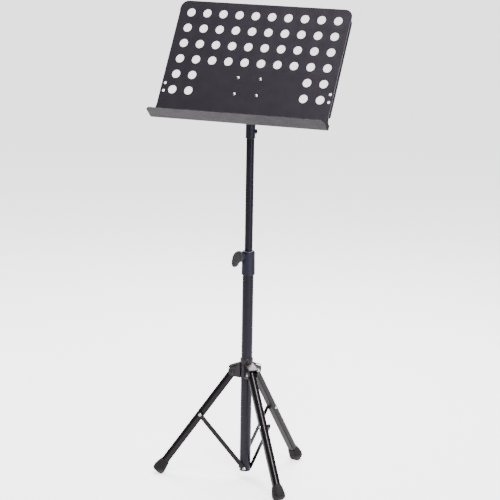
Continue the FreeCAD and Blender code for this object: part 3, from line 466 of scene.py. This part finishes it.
# Weld beads where the bracket's ears stand on its plate
WELD_HALF_LENGTH = 22 * MM
WELD_STEP = 0.7 * MM
WELD_RADIUS = 1.7 * MM
WELD_OFFSET = 0.5 * MM
WELD_RIPPLE_LENGTH = 2.8 * MM
WELD_PROUD = 0.8
WELD_RIPPLE = 0.12


def desk_directions():
    """Directions of the desk at rest: backward, and up its face."""
    holes = [mount for mount in frame["record"]["mounts"] if mount["name"].startswith("accessory_hole")]
    back = Vector(holes[0]["axis"]).normalized()
    if back.y < 0:
        back = -back
    return back, Vector((1.0, 0.0, 0.0)).cross(back)


def ear_welds():
    """A rippled bead down the outer side of each ear."""
    back, up = desk_directions()
    pivot = Vector(joints["desk_tilt"]["pos_m"])
    surface = skin("desk_bracket")
    beads = bmesh.new()
    steps = int(WELD_HALF_LENGTH / WELD_STEP)
    beside = pivot - back * (pivot - middle_of("desk_bracket")).dot(back)
    for side in (-1.0, 1.0):
        across = Vector((side, 0.0, 0.0))
        ear_face = surface.ray_cast(beside + across * CLEAR_OF_SURFACE, -across)[0]
        if ear_face is None:
            continue
        weld_middle = Vector((ear_face.x, pivot.y, pivot.z)) + across * WELD_OFFSET
        rays = [(weld_middle + up * (step * WELD_STEP), -back) for step in range(-steps, steps + 1)]
        add_ridge(beads, traced(surface, rays), WELD_RADIUS, WELD_PROUD, WELD_RIPPLE, WELD_RIPPLE_LENGTH)
    finished_piece("ear_welds", beads, "desk", "desk_steel")


# Mould seams on the clamp collar, on both sides of the thumb lever
SEAM_RADIUS = 0.35 * MM
SEAM_STEPS = 40
SEAM_END_GAP = 5 * MM
SEAM_PROUD = 0.7


def collar_seams():
    low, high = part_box("clamp_collar")
    bottom = low.z + SEAM_END_GAP
    top = high.z - SEAM_END_GAP
    surface = skin("clamp_collar")
    clamp_axis = Vector(joints["clamp_feed"]["axis"]).normalized()
    beads = bmesh.new()
    for side in (1.0, -1.0):
        away = Vector((-clamp_axis.y, clamp_axis.x, 0.0)) * side
        rays = [(on_mast(bottom + (top - bottom) * step / SEAM_STEPS) + away * CLEAR_OF_SURFACE, -away)
                for step in range(SEAM_STEPS + 1)]
        add_ridge(beads, traced(surface, rays), SEAM_RADIUS, SEAM_PROUD)
    finished_piece("collar_seams", beads, "mast_base", "black_plastic")


# ---------------------------------------------------------------- studio
STAGE_RADIUS = 60.0
WHITE = (1.0, 1.0, 1.0)
PAPER_DARKEST = (0.86, 0.86, 0.86, 1.0)
PAPER_LIGHTEST = (0.87, 0.87, 0.87, 1.0)
PAPER_GRAIN = 0.02 * MM
PAPER_ROUGHNESS = 0.9
STAGE_SEGMENTS = 96
SEEN_PAPER_GLOW = 2.2
SEEN_AIR = 3.2
AIR_AT_HORIZON = 0.26
AIR_OVERHEAD = 0.22
AIR_OVERHEAD_FROM = 0.7


def stage_material():
    """Pale paper, seen by the camera as brightly lit."""
    look = Look("studio_paper")
    cloud = look.noise(scale=1.2, detail=3.0)
    tone = look.mix(look.spread(cloud, NOISE_LOW, NOISE_HIGH), PAPER_DARKEST, PAPER_LIGHTEST)
    normal = look.bump(look.noise(scale=300.0, detail=2.0), PAPER_GRAIN)
    seen = look.add("ShaderNodeLightPath").outputs["Is Camera Ray"]
    look.link(look.math("MULTIPLY", seen, SEEN_PAPER_GLOW), look.shader.inputs["Emission Strength"])
    return look.finish(tone, PAPER_ROUGHNESS, normal, Specular_IOR_Level=0.1, Emission_Color=rgba(WHITE))


def make_floor():
    mesh = bpy.data.meshes.new("studio_floor")
    disc = bmesh.new()
    bmesh.ops.create_circle(disc, cap_ends=True, segments=STAGE_SEGMENTS, radius=STAGE_RADIUS)
    disc.to_mesh(mesh)
    disc.free()
    floor = bpy.data.objects.new("studio_floor", mesh)
    floor.location = on_mast(0.0)
    mesh.materials.append(stage_material())
    bpy.context.scene.collection.objects.link(floor)


def make_air():
    """Even pale air to the camera; to everything else, brightest at the horizon and dim overhead."""
    world = bpy.data.worlds.new("studio_air")
    world.use_nodes = True
    tree = world.node_tree
    background = tree.nodes["Background"]
    background.inputs["Color"].default_value = rgba(WHITE)
    coordinates = tree.nodes.new("ShaderNodeTexCoord")
    parts = tree.nodes.new("ShaderNodeSeparateXYZ")
    tree.links.new(coordinates.outputs["Generated"], parts.inputs["Vector"])
    height = tree.nodes.new("ShaderNodeMapRange")
    height.inputs["From Min"].default_value = 0.0
    height.inputs["From Max"].default_value = AIR_OVERHEAD_FROM
    height.inputs["To Min"].default_value = AIR_AT_HORIZON
    height.inputs["To Max"].default_value = AIR_OVERHEAD
    tree.links.new(parts.outputs["Z"], height.inputs["Value"])
    path = tree.nodes.new("ShaderNodeLightPath")
    choose = tree.nodes.new("ShaderNodeMix")
    tree.links.new(path.outputs["Is Camera Ray"], choose.inputs[0])
    tree.links.new(height.outputs["Result"], choose.inputs[2])
    choose.inputs[3].default_value = SEEN_AIR
    tree.links.new(choose.outputs[0], background.inputs["Strength"])
    bpy.context.scene.world = world


def soft_box(name, azimuth_deg, distance, height, size, power, aim_height=0.7, colour=WHITE):
    """Area light round the mast at an azimuth, aimed at a height on the mast."""
    data = bpy.data.lights.new(name, "AREA")
    data.shape = "RECTANGLE"
    data.size = size[0]
    data.size_y = size[1]
    data.energy = power
    data.color = colour
    light = bpy.data.objects.new(name, data)
    azimuth = math.radians(azimuth_deg)
    light.location = on_mast(height) + Vector((math.cos(azimuth), math.sin(azimuth), 0.0)) * distance
    aim = on_mast(aim_height) - light.location
    light.rotation_euler = aim.to_track_quat("-Z", "Y").to_euler()
    bpy.context.scene.collection.objects.link(light)


def make_lights():
    soft_box("key_box", azimuth_deg=-32.0, distance=3.6, height=1.3, size=(1.2, 2.4), power=34.0,
             colour=(0.93, 0.93, 1.0))
    soft_box("desk_box", azimuth_deg=-124.0, distance=2.4, height=3.4, size=(1.7, 1.7), power=5.0,
             aim_height=1.1)
    soft_box("leg_box", azimuth_deg=-52.0, distance=1.7, height=2.6, size=(0.6, 1.3), power=112.0,
             aim_height=0.2)
    soft_box("overhead_box", azimuth_deg=112.0, distance=1.5, height=2.8, size=(2.2, 2.2), power=230.0,
             aim_height=0.0)


# ---------------------------------------------------------------- the scene
make_camera()
dress_nodes()
boot_ribs()
ear_welds()
collar_seams()
make_floor()
make_air()
make_lights()
